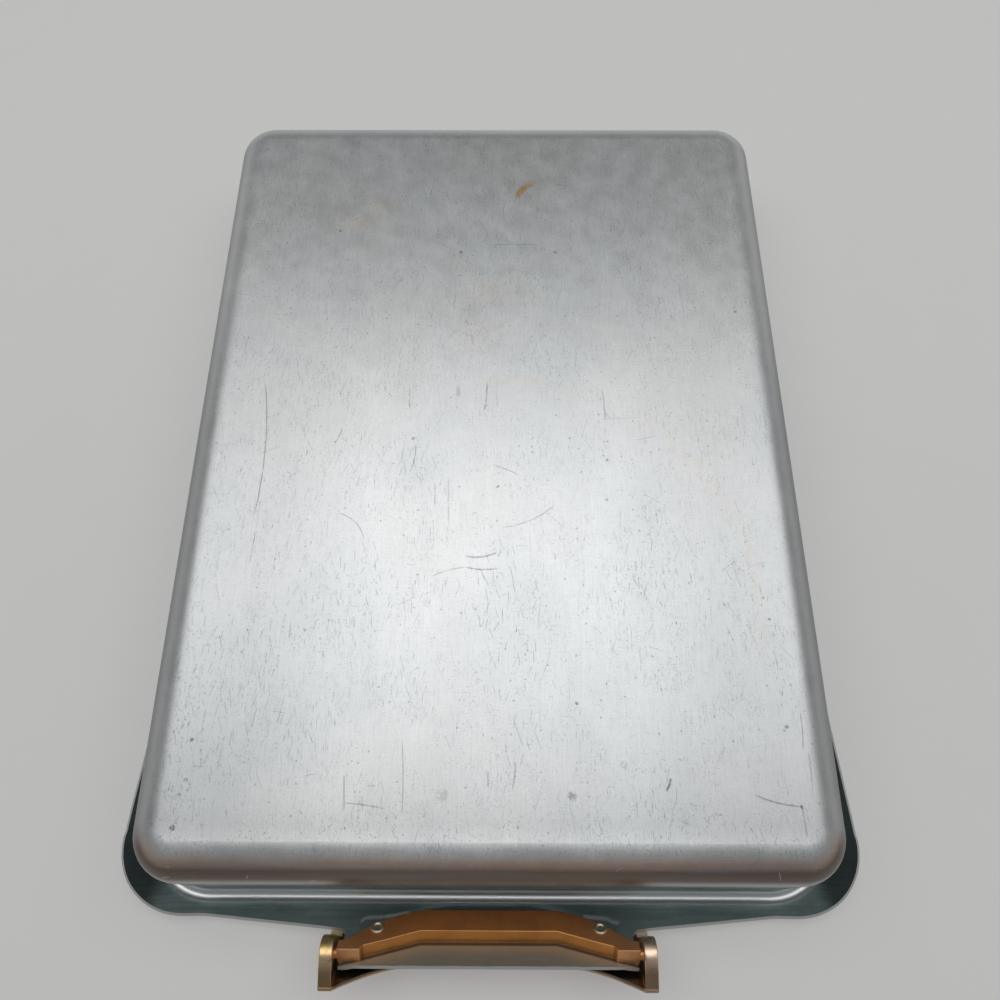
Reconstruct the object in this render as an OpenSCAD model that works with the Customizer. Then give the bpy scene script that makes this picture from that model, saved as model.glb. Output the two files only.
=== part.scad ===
// Lever ice cube tray, double width, lying upside down on its rim:
// the pan's bottom faces up and the handle end faces -Y.
// Origin: on the table, under the middle of the whole tray with its handle.

/* [Pan] */
// Width across the walls, at the fold round the mouth
pan_w = 228; // [216:1:236]
// Length over the walls, at the fold round the mouth
pan_l = 306; // [298:1:316]
// Height from the table to the upturned bottom
pan_h = 44; // [42:0.5:47]
// Thickness of the drawn sheet
sheet = 1.2; // [1:0.1:1.3]
// Outer radius of the edge between the walls and the bottom
edge_r = 12.5; // [11:0.5:13]
// Corner radius of the walls, at the fold
corner_r = 20; // [19:0.5:22]
// Slope of the walls, in degrees from upright
draft = 8; // [7:0.5:9]
// Inside radius of the fold between the walls and the apron
fold_r = 2.5; // [2.3:0.1:2.7]

/* [Apron] */
// Slope of the apron, in degrees from the table
apron_angle = 52; // [50:1:54]
// How far the rim stands out from the walls along the sides and the back
side_lip = 6.7; // [6.2:0.1:7.2]
// How far the rim stands out sideways from the walls at the front corners
corner_lip = 10.1; // [9.6:0.1:10.6]
// How far the rim stands out forwards from the walls at the front corners
front_lip = 7.8; // [7.4:0.1:8.2]
// Corner radius of the rim's outline at the front
rim_corner_r = 24; // [23:0.5:26]
// Length of the apron up its slope, beside the tab
apron_high = 10.2; // [9.8:0.1:10.6]
// Length of the tab up the slope
tab_len = 24.3; // [23.9:0.1:24.5]

/* [Bracket and handle] */
// Width of the handle over its ears
handle_w = 102.8; // [92:0.2:112]
// Thickness of the ears
ear_t = 4.1; // [4:0.1:4.4]
// Wall thickness of the handle's face
face_t = 1.4; // [1.2:0.1:1.6]
// Thickness of the cast bracket on the tab
bracket_t = 5; // [4.6:0.1:5.4]
// Radius of the trunnion pins
trunnion_r = 1.7; // [1.5:0.1:1.8]
// Radius of the rivets' shanks
rivet_r = 1.5; // [1.3:0.1:1.6]

/* [Grids] */
// Thickness of the fins and the centre walls
fin_t = 1; // [0.8:0.1:1.2]
// Height of the grids' upper edges below the mouth of the pan
grid_drop = 11; // [11:0.1:11.4]
// Length of the lever beyond its pivot
lever_len = 132; // [110:1:140]
// Width of the lever's channel
lever_w = 14; // [13:0.5:16]
// Radius of the lever's pivot pin
pivot_r = 1.5; // [1.3:0.1:1.7]
// Radius of the pin that drives the draw bar
link_r = 1; // [0.9:0.05:1.1]
// Opening angle of the lever
lever_open = 75; // [70:1:75]

/* [Hidden] */
$fn = 48;

// clearances
cut = 0.1;              // overshoot of a cutting tool
run_gap = 0.05;         // radial clearance of a turning pin
fit_gap = 0.02;         // radial clearance of a fixed pin
seat_gap = 0.1;         // between the divider and the pan
wall_gap = 0.8;         // between a grid and the pan's walls
floor_gap = 0.3;        // between a grid and the pan's bottom
mid_gap = 1;            // from a grid's edge to the middle of the pan
slot_gap = 0.3;         // each side of a plate in its slot
ear_gap = 0.8;          // between the bracket and an ear
end_gap = 0.4;          // between a trunnion's end and the bottom of its bore

// pan: the profile is drawn outwards from the wall's line at the fold
fold_c = [(fold_r - (sheet + fold_r) * sin(draft)) / cos(draft), sheet + fold_r];
edge_c = [-(pan_h - edge_r) * tan(draft) - edge_r / cos(draft), pan_h - edge_r];
apron_0 = fold_c + fold_r * [sin(apron_angle), -cos(apron_angle)];
mid_x = pan_w / 2 - corner_r;
mid_y = pan_l / 2 - corner_r;
side_reach = 18;        // apron drawn along the sides before it is trimmed
apron_low = (front_lip - apron_0[0]) / cos(apron_angle);    // apron beside the corners, flush with them

// rim: its outline swells along the sides towards the front corners
swell = 0.9;            // width gained at the middle of the swelling
swell_at = 38;          // middle of the swelling, behind the corner's centre
swell_end = 83;         // its end, behind the corner's centre
notch_r = 3;            // fillet between the apron and the tab

// bracket: sizes up the slope, above the apron, or in from an end
bracket_half = handle_w / 2 - ear_t - ear_gap;
tab_in = 0.5;           // from the bracket's end to the tab's side
axis_at = [21.1, 1.9];  // trunnions' axis
block_toe = [2.7, 18.9]; // lower corner of a trunnion block
block_high = 22.7;      // upper edge of the blocks, and of the bracket
block_w = 7;            // width of a block along its upper edge
arm_low = [8.5, 14.4];  // lower corner of the sloping arm
arm_high = [12.4, 19.9]; // upper corner of the sloping arm
pad_at = [10.5, 12.9];  // end of the pad round a rivet
bar_low = [19, 9.2];    // start of the level bar, lower edge
bar_high = [25, 15.8];  // start of the level bar, upper edge
bar_step = [7, -1.5];   // from there to the middle stretch of that edge
rivet_at = [11.4, 14.6];
head_over = 0.7;        // rivet's head beyond its shank
head_h = 1;
dome_r = 2.9;           // radius of the head's crown
tail_h = 0.8;           // flat tail behind the tab

// handle
ear_r = 4.9;            // of the ear round its trunnion
ear_foot = 6.9;         // lower end of the ear, up the slope
ear_throat = [apron_high + 1.5, -sheet - 0.5];  // where the ear passes under the apron's edge
ear_cut = [0.6, 0.8];   // bevel of the ears' far corner
bore_depth = 3.2;
face_in = -3;           // inner side of the handle's face
face_out = face_in - face_t;
face_low = 2.9;         // lower end of the face, up the slope
face_mid = 21.4;        // arched edge of the face in the middle
face_top = 29.1;        // and beside the ears
face_r = 6;             // lower corners of the face
arch_in = 20.9;         // start of the arch, in from the ear's outer side
arch_step = [3, 0.6];   // easing of the arch into its level part
lip_in = 15.4;          // ends of the folded lip, in from the ear's outer side
lip_h = 2.4;            // height of the folded lip

// from the middle of the walls to the middle of the whole tray
front_end = apron_0[0] + (face_top - ear_cut[0]) * cos(apron_angle) - face_out * sin(apron_angle);
centre_y = (front_end - side_lip) / 2;

// grids
cells = 7;
grid_x = pan_w / 4;
grid_bottom = pan_h - sheet - floor_gap;
inner_w = pan_w / 2 - sheet / cos(draft) - wall_gap;
inner_l = pan_l / 2 - sheet / cos(draft) - wall_gap;
inner_r = edge_r - sheet - wall_gap;
pitch = 2 * (inner_l - pan_h * tan(draft)) / cells;
rock_z = grid_bottom - 3.5;     // line on which the fins rock
web_z = rock_z - 2;             // top of the strip left under the fan slots
foot_cut = 2;                   // bevel of a fin's corner beside the divider

// lever and draw bar
bar_travel = 8;
link_rest = lever_open / 2;     // lean of the short arm at rest
arm = bar_travel / 2 / sin(link_rest);
pivot_ahead = 24.5;             // from the second fin to the lever's pivot
pivot_y = -1.5 * pitch - pivot_ahead;
pivot_z = 14;
link_y = pivot_y + arm * sin(link_rest);
link_z = pivot_z - arm * cos(link_rest);
link_rise = arm * (1 - cos(link_rest));
link_play = [0.25, 0.12];       // slot of the link pin, along and across the bar
draw_t = 1.6;
draw_top = 4.8;
draw_bottom = grid_drop - 0.4;
draw_nose = 5;                  // bar in front of the link pin
draw_tail = 6;                  // bar behind the last fin
tongue_w = 6;
tongue_top = 8.2;               // height reached by the fins' tongues
tongue_gap = [0.55, 0.4];       // round a tongue in the bar, along and above
drive_z = 9.2;                  // height at which the bar drives the tongues
fin_tilt = atan(bar_travel / (rock_z - drive_z));
lever_top = 0.4;
lever_sheet = 1;
boss_r = 4;                     // of the cheeks round the pivot
link_boss_r = 2.6;              // of the cheeks round the link pin
web_in = 9;                     // from the pivot to the start of the web
tip_h = 4.6;                    // depth of the channel at the lever's tip
side_h = 7.2;                   // and behind the tip's taper
tip_taper = 12;
cheek_end = 16;                 // from the pivot to the cheek's deepest edge
pin_out = 0.3;                  // pin beyond the cheeks, on each side
pin_head = 0.8;                 // radius of a pin's head beyond the pin

function arc(c, r, a0, a1, n) = [for (i = [0:n]) let (a = a0 + (a1 - a0) * i / n) c + r * [cos(a), sin(a)]];
function flip(p) = [for (i = [len(p) - 1:-1:0]) [-p[i][0], p[i][1]]];
function mirrored(p) = concat(p, flip(p));

// Moves the tray so that its middle is over the origin
module placed() {
    translate([0, centre_y, 0]) children();
}

// ---------------------------------------------------------------- pan

// Section of the drawn sheet: bottom, edge, wall, fold and apron
module pan_section(reach) {
    rise = [cos(apron_angle), sin(apron_angle)];
    under = sheet * [sin(apron_angle), -cos(apron_angle)];
    outside = concat([[-corner_r, pan_h]], arc(edge_c, edge_r, 90, draft, 9),
        arc(fold_c, fold_r, 180 + draft, 270 + apron_angle, 7), [apron_0 + reach * rise]);
    inside = concat([apron_0 + reach * rise + under],
        arc(fold_c, fold_r + sheet, 270 + apron_angle, 180 + draft, 9),
        arc(edge_c, edge_r - sheet, draft, 90, 8), [[-corner_r, pan_h - sheet]]);
    polygon(concat(outside, inside));
}

// One straight side of the drawn pan, facing +X
module pan_side(length, out, reach) {
    translate([out, length / 2, 0]) rotate([90, 0, 0]) linear_extrude(length) pan_section(reach);
}

// One corner of the drawn pan, between +X and +Y
module pan_corner() {
    translate([mid_x, mid_y, 0]) rotate_extrude(angle = 90, $fn = 96)
        translate([corner_r, 0]) pan_section(side_reach);
}

// Plan of the rim that the sides, the back and the front corners are trimmed to
module rim_plan() {
    back_r = corner_r + side_lip;
    side = pan_w / 2 + side_lip;
    front_side = pan_w / 2 + corner_lip;
    front = pan_l / 2 + front_lip;
    fx = front_side - rim_corner_r;
    fy = front - rim_corner_r;
    polygon(mirrored([[fx, -front], [front_side, -fy], [side + swell, swell_at - mid_y],
        [side, swell_end - mid_y], [side, mid_y], [mid_x, mid_y + back_r]]));
    for (x = [-1, 1]) {
        translate([x * fx, -fy]) circle(rim_corner_r, $fn = 96);
        translate([x * mid_x, mid_y]) circle(back_r, $fn = 96);
    }
}

// Puts things on the upper face of the front apron: Y runs up the slope, Z stands on the sheet
module on_apron() {
    translate([0, -pan_l / 2 - apron_0[0], apron_0[1]]) rotate([-apron_angle, 0, 0]) rotate([0, 0, 180])
        children();
}

// Front apron with its tab, cut square to the sheet
module front_apron() {
    tab_half = bracket_half - tab_in;
    on_apron() translate([0, 0, -sheet]) linear_extrude(sheet)
        polygon(mirrored(concat([[mid_x, 0], [mid_x, apron_low]],
            arc([tab_half + notch_r, apron_high + notch_r], notch_r, 270, 180, 6),
            [[tab_half, tab_len]])));
}

// Does something at each of the two rivets
module at_rivets() {
    on_apron() for (x = [-1, 1]) translate([x * (bracket_half - rivet_at[0]), rivet_at[1], 0]) children();
}

module rivet_holes() {
    at_rivets() translate([0, 0, -2 * sheet]) cylinder(r = rivet_r + fit_gap, h = 2 * (sheet + bracket_t));
}

module pan() {
    color("silver") difference() {
        union() {
            intersection() {
                union() {
                    translate([-mid_x, -mid_y, pan_h - sheet]) cube([2 * mid_x, 2 * mid_y, sheet]);
                    for (a = [0, 180]) rotate(a) pan_side(2 * mid_y, pan_w / 2, side_reach);
                    rotate(90) pan_side(2 * mid_x, pan_l / 2, side_reach);
                    rotate(-90) pan_side(2 * mid_x, pan_l / 2, fold_r / 2);
                    for (x = [0, 1]) mirror([x, 0, 0]) for (y = [0, 1]) mirror([0, y, 0]) pan_corner();
                }
                translate([0, 0, -sheet]) linear_extrude(pan_h + 2 * sheet) rim_plan();
            }
            front_apron();
        }
        rivet_holes();
    }
}

// ---------------------------------------------------------------- bracket, rivets, handle

// Does something at both trunnions, with Z pointing outwards, starting x away from the middle
module at_trunnions(x) {
    on_apron() for (s = [-1, 1]) translate([s * x, axis_at[0], axis_at[1]]) rotate([0, s * 90, 0]) children();
}

// Cast bracket: an arched bar on the tab with a block and a trunnion pin at each end
module bracket() {
    root = 1;           // pin's length inside its block
    color("chocolate") {
        difference() {
            on_apron() linear_extrude(bracket_t) polygon(mirrored([
                for (p = [bar_low + bar_step, bar_low, pad_at, arm_low, block_toe, [0, block_toe[1] + 0.3],
                    [0, block_high], [block_w, block_high], [block_w + 1, block_high - 1.5],
                    arm_high, bar_high]) [bracket_half - p[0], p[1]]]));
            rivet_holes();
        }
        at_trunnions(bracket_half - root) cylinder(r = trunnion_r, h = root + ear_gap + bore_depth - end_gap);
    }
}

// Two rivets with domed heads on the bracket and flat tails behind the tab
module rivets() {
    head_r = rivet_r + head_over;
    color("gainsboro") at_rivets() {
        translate([0, 0, -sheet - tail_h]) cylinder(r = head_r, h = tail_h);
        translate([0, 0, -sheet - tail_h / 2]) cylinder(r = rivet_r, h = sheet + bracket_t + tail_h);
        translate([0, 0, bracket_t]) rotate_extrude() intersection() {
            translate([0, head_h - dome_r]) circle(dome_r);
            square([head_r, head_h]);
        }
    }
}

// Release handle: a face outside the tab, hung between two ears on the trunnions
module handle() {
    half = handle_w / 2;
    arch = half - arch_in;
    color("darkgoldenrod") difference() {
        on_apron() {
            translate([0, 0, face_out]) linear_extrude(face_t) polygon(mirrored(concat(
                arc([half - face_r, face_low + face_r], face_r, 270, 360, 6),
                [[half, face_top], [half - ear_t, face_top], [arch, face_mid + arch_step[1]],
                [arch - arch_step[0], face_mid]])));
            translate([lip_in - half, face_low, face_out - lip_h])
                cube([2 * (half - lip_in), face_t, lip_h + face_t / 2]);
            for (x = [-half, half - ear_t]) translate([x, 0, 0]) rotate([90, 0, 90]) linear_extrude(ear_t)
                polygon(concat(arc(axis_at, ear_r, 25, 155, 10), [ear_throat, [ear_foot, face_in],
                    [ear_foot, face_out], [face_top - ear_cut[0], face_out],
                    [face_top, face_out + ear_cut[1]]]));
        }
        at_trunnions(half - ear_t - cut) cylinder(r = trunnion_r + run_gap, h = bore_depth + cut);
    }
}

// ---------------------------------------------------------------- grids

// Puts a grid part in the right (1) or left (-1) half of the pan
module in_half(side) {
    mirror([side > 0 ? 0 : 1, 0, 0]) translate([grid_x, 0, 0]) children();
}

// Stands a drawing of [along the pan, height] on the grid's middle plane
module upright(thick) {
    rotate([90, 0, 90]) linear_extrude(thick, center = true) children();
}

// A hole right through the lever's cheeks, across the grid
module cross_hole(y, z, r) {
    translate([-lever_w, y, z]) rotate([0, 90, 0]) cylinder(r = r, h = 2 * lever_w);
}

function fin_y(k) = (k - cells / 2) * pitch;

// Centre wall, with a fan slot for each fin and the bore of the lever's pivot
module centre_wall(side) {
    end_c = [pan_l / 2 + edge_c[0], grid_bottom - inner_r];
    slot = fin_t / 2 + slot_gap;
    fan_z = [web_z, grid_drop - cut];
    fan = [for (z = fan_z) -slot - slot_gap - (web_z - z + 2) * tan(fin_tilt)];
    color("lightsteelblue") in_half(side) difference() {
        upright(fin_t) difference() {
            polygon(mirrored(concat([[inner_l - grid_drop * tan(draft), grid_drop]],
                arc(end_c, inner_r, draft, 90, 6))));
            for (k = [1:6]) translate([fin_y(k), 0])
                polygon([[slot, fan_z[0]], [slot, fan_z[1]], [fan[1], fan_z[1]], [fan[0], fan_z[0]]]);
        }
        cross_hole(pivot_y, pivot_z, pivot_r + fit_gap);
    }
}

// Plain wall between the two grids, wedged across the pan
module divider() {
    seat = inner_l + wall_gap - seat_gap;
    foot = pan_h - sheet;
    end_r = edge_r - sheet - seat_gap;
    color("lightsteelblue") upright(fin_t) polygon(mirrored(concat(
        [[seat - grid_drop * tan(draft), grid_drop]],
        arc([pan_l / 2 + edge_c[0], foot - end_r], end_r, draft, 90, 8))));
}

// Cross fin, cut to the pan's section, with a tongue for the draw bar
module fin(side, k) {
    edge_at = [pan_w / 2 + edge_c[0] - grid_x, grid_bottom - inner_r];
    inner = mid_gap - grid_x;
    slot = fin_t / 2 + slot_gap;
    slot_top = web_z - slot_gap;
    tongue = tongue_w / 2;
    color("lightsteelblue") in_half(side) translate([0, fin_y(k) + fin_t / 2, 0]) rotate([90, 0, 0])
        linear_extrude(fin_t) polygon(concat([[-tongue, tongue_top], [tongue, tongue_top],
            [tongue, grid_drop], [inner_w - grid_x - grid_drop * tan(draft), grid_drop]],
            arc(edge_at, inner_r, draft, 90, 6),
            [[slot, grid_bottom], [slot, slot_top], [-slot, slot_top], [-slot, grid_bottom],
            [inner + foot_cut, grid_bottom], [inner, grid_bottom - foot_cut], [inner, grid_drop],
            [-tongue, grid_drop]]));
}

// Draw bar: an upright strip above the centre wall that tips all the fins together
module draw_bar(side) {
    notch = fin_t / 2 + tongue_gap[0];
    notch_top = tongue_top - tongue_gap[1];
    slot = link_play + link_r * [1, 1];
    bar_0 = link_y - draw_nose;
    color("gainsboro") in_half(side) upright(draw_t) difference() {
        translate([bar_0, draw_top]) square([2.5 * pitch + draw_tail - bar_0, draw_bottom - draw_top]);
        for (k = [1:6]) translate([fin_y(k) - notch, notch_top])
            square([2 * notch, draw_bottom - notch_top + cut]);
        translate([link_y - slot[0], link_z - link_rise - slot[1]])
            square([2 * slot[0], link_rise + 2 * slot[1]]);
    }
}

// Lever: a channel over the draw bar, with two cheeks on the pivot
module lever(side) {
    tip = pivot_y + lever_len;
    web_0 = pivot_y + web_in;
    cheek = lever_w / 2 - lever_sheet;
    color("gainsboro") in_half(side) difference() {
        union() {
            for (x = [-1, 1]) translate([x * (cheek + lever_sheet / 2), 0, 0]) upright(lever_sheet) {
                translate([pivot_y, pivot_z]) circle(boss_r);
                translate([link_y, link_z]) circle(link_boss_r);
                polygon([[pivot_y, pivot_z] - boss_r * [cos(51), sin(51)],
                    [link_y, link_z] - link_boss_r * [cos(40), sin(40)], [web_0, lever_top], [tip, lever_top],
                    [tip, lever_top + tip_h], [tip - tip_taper, lever_top + side_h],
                    [pivot_y + cheek_end, draw_bottom], [pivot_y, pivot_z] + boss_r * [cos(41), sin(41)]]);
            }
            translate([-cheek - cut, web_0, lever_top])
                cube([2 * (cheek + cut), lever_len - web_in, lever_sheet]);
        }
        cross_hole(pivot_y, pivot_z, pivot_r + run_gap);
        cross_hole(link_y, link_z, link_r + fit_gap);
    }
}

// Headed pin across the grid
module cross_pin(side, y, z, r, head) {
    half = lever_w / 2 + pin_out;
    color("silver") in_half(side) translate([-half, y, z]) rotate([0, 90, 0]) {
        cylinder(r = r, h = 2 * half);
        for (h = [-head, 2 * half]) translate([0, 0, h]) cylinder(r = r + pin_head, h = head);
    }
}

module lever_pivot(side) {
    cross_pin(side, pivot_y, pivot_z, pivot_r, 1);
}

module link_pin(side) {
    cross_pin(side, link_y, link_z, link_r, 0.6);
}

placed() pan();
placed() bracket();
placed() rivets();
placed() handle();
placed() divider();
placed() centre_wall(1);  // right_centre_wall
placed() fin(1, 1);  // right_fin_1
placed() fin(1, 2);  // right_fin_2
placed() fin(1, 3);  // right_fin_3
placed() fin(1, 4);  // right_fin_4
placed() fin(1, 5);  // right_fin_5
placed() fin(1, 6);  // right_fin_6
placed() draw_bar(1);  // right_draw_bar
placed() lever(1);  // right_lever
placed() lever_pivot(1);  // right_lever_pivot
placed() link_pin(1);  // right_link_pin
placed() centre_wall(-1);  // left_centre_wall
placed() fin(-1, 1);  // left_fin_1
placed() fin(-1, 2);  // left_fin_2
placed() fin(-1, 3);  // left_fin_3
placed() fin(-1, 4);  // left_fin_4
placed() fin(-1, 5);  // left_fin_5
placed() fin(-1, 6);  // left_fin_6
placed() draw_bar(-1);  // left_draw_bar
placed() lever(-1);  // left_lever
placed() lever_pivot(-1);  // left_lever_pivot
placed() link_pin(-1);  // left_link_pin
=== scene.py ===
"""Dresses the lever ice cube tray, lying upside down: its worn pan, copper bracket, rivets and release
handle, and the two lever grids under it. Lengths are in metres and the frame is the solid model's."""

import math

import bmesh
import bpy
from mathutils import Matrix, Vector, noise


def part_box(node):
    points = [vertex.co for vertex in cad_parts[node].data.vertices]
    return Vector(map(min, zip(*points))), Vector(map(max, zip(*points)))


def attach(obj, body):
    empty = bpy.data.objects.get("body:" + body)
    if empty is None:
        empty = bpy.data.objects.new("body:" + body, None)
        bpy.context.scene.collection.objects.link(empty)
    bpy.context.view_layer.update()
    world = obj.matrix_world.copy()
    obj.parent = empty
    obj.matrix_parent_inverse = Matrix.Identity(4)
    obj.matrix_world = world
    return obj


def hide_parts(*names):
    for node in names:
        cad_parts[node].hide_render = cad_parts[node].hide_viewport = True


bl_info = {
    "name": "Lever ice cube tray",
    "version": (1, 0, 0),
    "blender": (4, 5, 0),
    "location": "View3D > Sidebar > Ice tray",
    "description": "Builds a double-width lever ice cube tray over its solid model",
    "category": "Object",
}

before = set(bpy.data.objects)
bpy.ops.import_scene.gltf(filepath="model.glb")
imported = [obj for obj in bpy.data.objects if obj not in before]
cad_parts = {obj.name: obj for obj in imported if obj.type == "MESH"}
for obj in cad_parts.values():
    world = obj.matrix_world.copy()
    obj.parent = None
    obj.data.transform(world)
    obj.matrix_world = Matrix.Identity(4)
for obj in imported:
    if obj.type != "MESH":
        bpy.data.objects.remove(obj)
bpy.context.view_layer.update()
PAN_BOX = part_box("pan")
HANDLE_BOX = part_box("handle")
MM = 0.001
APRON_DEGREES = 52


def length(name, description, default):
    """A size in metres."""
    return bpy.props.FloatProperty(
        name=name, description=description, default=default, min=0, precision=5, unit="LENGTH"
    )


def angle(name, description, degrees):
    """An angle, given in degrees and kept in radians."""
    return bpy.props.FloatProperty(
        name=name, description=description, default=math.radians(degrees), subtype="ANGLE"
    )


def amount(name, description, default):
    """A plain number that is never negative."""
    return bpy.props.FloatProperty(name=name, description=description, default=default, min=0)


def position(name, description, default):
    """A place in metres."""
    return bpy.props.FloatVectorProperty(
        name=name, description=description, default=default, subtype="TRANSLATION"
    )


def colour(name, description, default):
    """A linear colour."""
    return bpy.props.FloatVectorProperty(
        name=name, description=description, default=default, size=3, subtype="COLOR", min=0, max=1
    )


class PanSizes(bpy.types.PropertyGroup):
    """The drawn pan and its rim."""

    width: length("Width", "Across the walls, at the fold round the mouth", 228 * MM)
    length: length("Length", "Over the walls, at the fold round the mouth", 306 * MM)
    height: length("Height", "From the table to the upturned bottom", PAN_BOX[1].z)
    sheet: length("Sheet", "Thickness of the drawn sheet", 1.2 * MM)
    edge_radius: length("Edge radius", "Of the edge between the walls and the bottom", 12.5 * MM)
    corner_radius: length("Corner radius", "Of the walls, at the fold", 20 * MM)
    fold_radius: length("Fold radius", "Inside the fold between the walls and the apron", 2.5 * MM)
    side_lip: length("Side lip", "How far the rim stands out along the sides and the back", 6.7 * MM)
    corner_lip: length("Corner lip", "How far the rim stands out sideways at the front corners", 10.1 * MM)
    front_lip: length("Front lip", "How far the rim stands out forwards at the front corners", 7.8 * MM)
    rim_radius: length("Rim radius", "Corner radius of the rim's outline at the front", 24 * MM)
    draft: angle("Draft", "Slope of the walls from upright", 8)
    unevenness: length("Unevenness", "Depth of the wide hollows worn into the bottom", 0.12 * MM)


class ApronSizes(bpy.types.PropertyGroup):
    """The apron along the front, and the tab that carries the bracket."""

    slope: angle("Slope", "Of the apron, from the table", APRON_DEGREES)
    low: length("Length at the corners", "Up the slope, where the front corners start", 4.7 * MM)
    high: length("Length beside the tab", "Up the slope", 10.1 * MM)
    tab_length: length("Tab length", "Up the slope", 24.3 * MM)
    notch_radius: length("Notch radius", "Fillet between the apron and the tab", 3 * MM)
    pad_height: length("Pad height", "Of the pressed pad under the bracket", 0.45 * MM)
    ragged: length("Ragged edge", "Unevenness of the sheared edge", 0.16 * MM)


class HandleSizes(bpy.types.PropertyGroup):
    """The bracket, its rivets and the release handle."""

    width: length("Width", "Over the ears", HANDLE_BOX[1].x - HANDLE_BOX[0].x)
    ear: length("Ear thickness", "Of the two ears", 4.1 * MM)
    ear_radius: length("Ear radius", "Round the trunnion", 4.9 * MM)
    face: length("Face thickness", "Of the handle's face", 1.4 * MM)
    bracket: length("Bracket thickness", "Of the cast bracket", 5 * MM)
    trunnion: length("Trunnion radius", "Of the bracket's pins", 1.7 * MM)
    rivet: length("Rivet radius", "Of the rivets' heads", 2.2 * MM)
    rounding: length("Rounding", "Of the bracket's and the ears' edges", 0.45 * MM)


class TrayColours(bpy.types.PropertyGroup):
    """Linear colours of the metals."""

    bare: colour("Bare sheet", "Worn aluminium of the pan", (0.70, 0.712, 0.715))
    teal: colour("Teal coat", "Anodised coat left on the apron", (0.29, 0.40, 0.39))
    cut: colour("Cut edge", "Sheared edge of the sheet", (0.52, 0.53, 0.52))
    copper: colour("Copper", "Coat of the bracket", (0.82, 0.36, 0.11))
    brass: colour("Brass", "Gold patina of the handle's ears", (0.85, 0.60, 0.24))
    rose: colour("Rose", "Pink copper showing through the patina", (0.92, 0.70, 0.56))
    rivet: colour("Rivets", "Tarnished bright metal", (0.62, 0.55, 0.42))
    grid: colour("Grids", "Satin aluminium of the fins and walls", (0.68, 0.70, 0.71))
    floor: colour("Floor", "Plain pale studio floor", (0.62, 0.62, 0.61))


class StageSettings(bpy.types.PropertyGroup):
    """The lamp, the world, the floor and the camera."""

    key_power: bpy.props.FloatProperty(
        name="Key power",
        description="Of the soft lamp overhead",
        default=6.85,
        subtype="POWER",
        unit="POWER",
    )
    key_width: length("Key width", "Of the soft lamp, across the tray", 2.2)
    key_depth: length("Key depth", "Of the soft lamp, along the tray", 0.8)
    key_place: position("Key place", "Of the soft lamp", (0.02, 0.22, 1.05))
    key_aim: position("Key aim", "The point that the soft lamp faces", (0.02, 0.0, 0.04))
    horizon: amount("Horizon", "Brightness of the world at the horizon", 0.5)
    ceiling: amount("Ceiling", "Brightness of the world overhead", 0.2)
    floor_half: length("Floor", "Half the width of the square floor", 6.0)
    floor_glow: amount("Floor glow", "Added to the floor's brightness where it is seen", 0.16)
    lens: amount("Lens", "Focal length in millimetres, on a 36 mm sensor", 27.04)
    eye: position("Eye", "Place of the camera", (0.00406, -0.11205, 0.2861))
    turn: bpy.props.FloatVectorProperty(
        name="Turn",
        description="Camera's swing about the upright, tilt from straight down, and roll",
        default=(math.radians(0.65), math.radians(21.052), math.radians(-0.435)),
        subtype="EULER",
    )


GROUPS = {
    "tray_pan": PanSizes,
    "tray_apron": ApronSizes,
    "tray_handle": HandleSizes,
    "tray_colours": TrayColours,
    "tray_stage": StageSettings,
}

# ---------------------------------------------------------------- finishes


def arithmetic(operation, swapped=False):
    """A Wire's method for a Math node with two values."""

    def method(self, other):
        return self.maths(operation, *((other, self) if swapped else (self, other)))

    return method


class Wire:
    """A socket in a finish's node tree. Arithmetic on it adds the Math nodes that it needs."""

    def __init__(self, finish, socket):
        self.finish = finish
        self.socket = socket

    def maths(self, operation, *values):
        return self.finish.node("ShaderNodeMath", {"operation": operation}, dict(enumerate(values)))

    __add__ = arithmetic("ADD")
    __radd__ = arithmetic("ADD", swapped=True)
    __sub__ = arithmetic("SUBTRACT")
    __rsub__ = arithmetic("SUBTRACT", swapped=True)
    __mul__ = arithmetic("MULTIPLY")
    __rmul__ = arithmetic("MULTIPLY", swapped=True)
    __truediv__ = arithmetic("DIVIDE")
    __rtruediv__ = arithmetic("DIVIDE", swapped=True)
    __pow__ = arithmetic("POWER")
    at_least = arithmetic("MAXIMUM")
    at_most = arithmetic("MINIMUM")

    def __abs__(self):
        return self.maths("ABSOLUTE", self)

    def rise(self, low, high):
        """0 below low and 1 above high, easing between them; low may be the greater."""
        return self.finish.node(
            "ShaderNodeMapRange",
            {"interpolation_type": "SMOOTHSTEP"},
            {"Value": self, "From Min": low, "From Max": high},
        )

    def span(self, low, high):
        """rise() between two lengths in millimetres."""
        return self.rise(low * MM, high * MM)

    def other(self, output):
        """Another output of the same node."""
        return Wire(self.finish, self.socket.node.outputs[output])


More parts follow.
